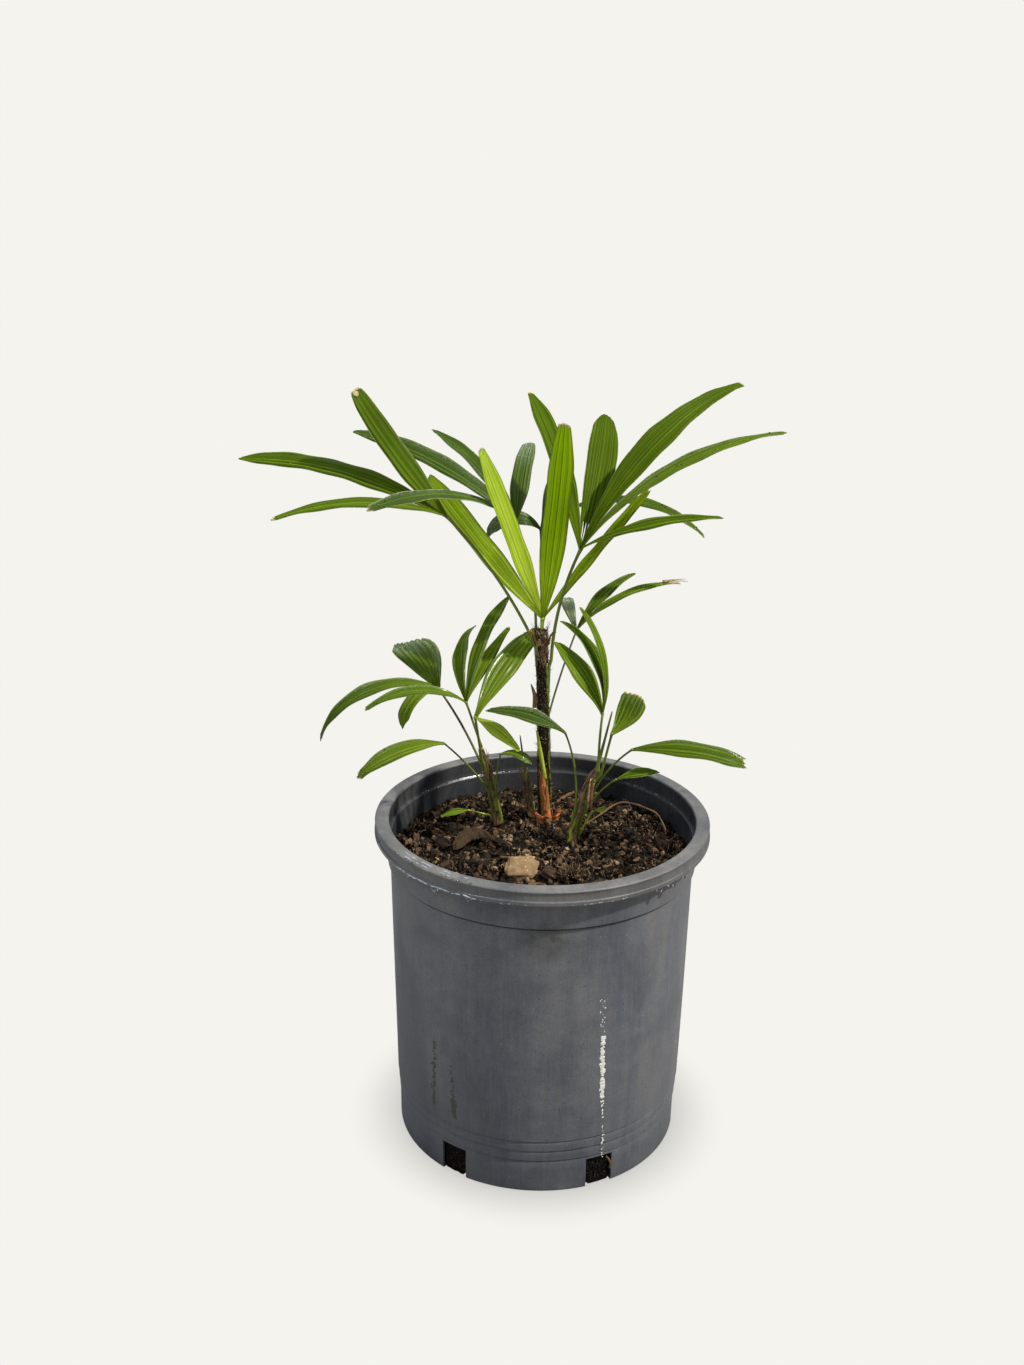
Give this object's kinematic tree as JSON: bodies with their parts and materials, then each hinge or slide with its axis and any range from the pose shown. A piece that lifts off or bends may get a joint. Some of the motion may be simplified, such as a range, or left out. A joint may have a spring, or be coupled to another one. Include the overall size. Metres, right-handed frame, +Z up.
{
  "type": "lady palm in a nursery pot",
  "caption": "Young clumping fan palm with leaning fibrous stems and segmented pleated leaves, growing in a round plastic nursery pot filled with dark potting mix",
  "frame": {"origin": "centre of the pot's flat underside", "axes": "+Z up along the pot's axis, the plant's front faces -Y, +X to the right seen from the front"},
  "size_m": [0.3237, 0.2409, 0.4508],
  "materials": {
    "pot": "matte charcoal moulded plastic with faint dust and water marks",
    "potting_mix": "dark damp crumbly bark and peat mix",
    "stem": "dark brown fibrous leaf sheaths",
    "leaf": "satin mid-green pleated leaf",
    "new_leaf": "satin yellow-green young leaf"
  },
  "bodies": {
    "root": {"frond_back_left": "leaf", "frond_back_low": "leaf", "frond_back_right": "leaf", "frond_left_high": "leaf", "frond_new": "new_leaf", "frond_right_high": "leaf", "leaf_cross": "leaf", "leaf_left_arch": "leaf", "leaf_left_back": "leaf", "leaf_left_foot": "leaf", "leaf_left_front": "leaf", "leaf_left_low": "leaf", "leaf_left_small": "leaf", "leaf_right_fan": "leaf", "leaf_right_foot": "leaf", "leaf_right_low": "leaf", "leaf_right_round": "leaf", "leaf_right_small": "leaf", "pot": "pot", "potting_mix": "potting_mix", "shoot_small": "stem", "shoot_young": "stem", "spear_right": "leaf", "spear_small": "leaf", "spear_young": "leaf", "stem_left": "stem", "stem_right": "stem", "trunk": "stem"}
  },
  "joints": []
}
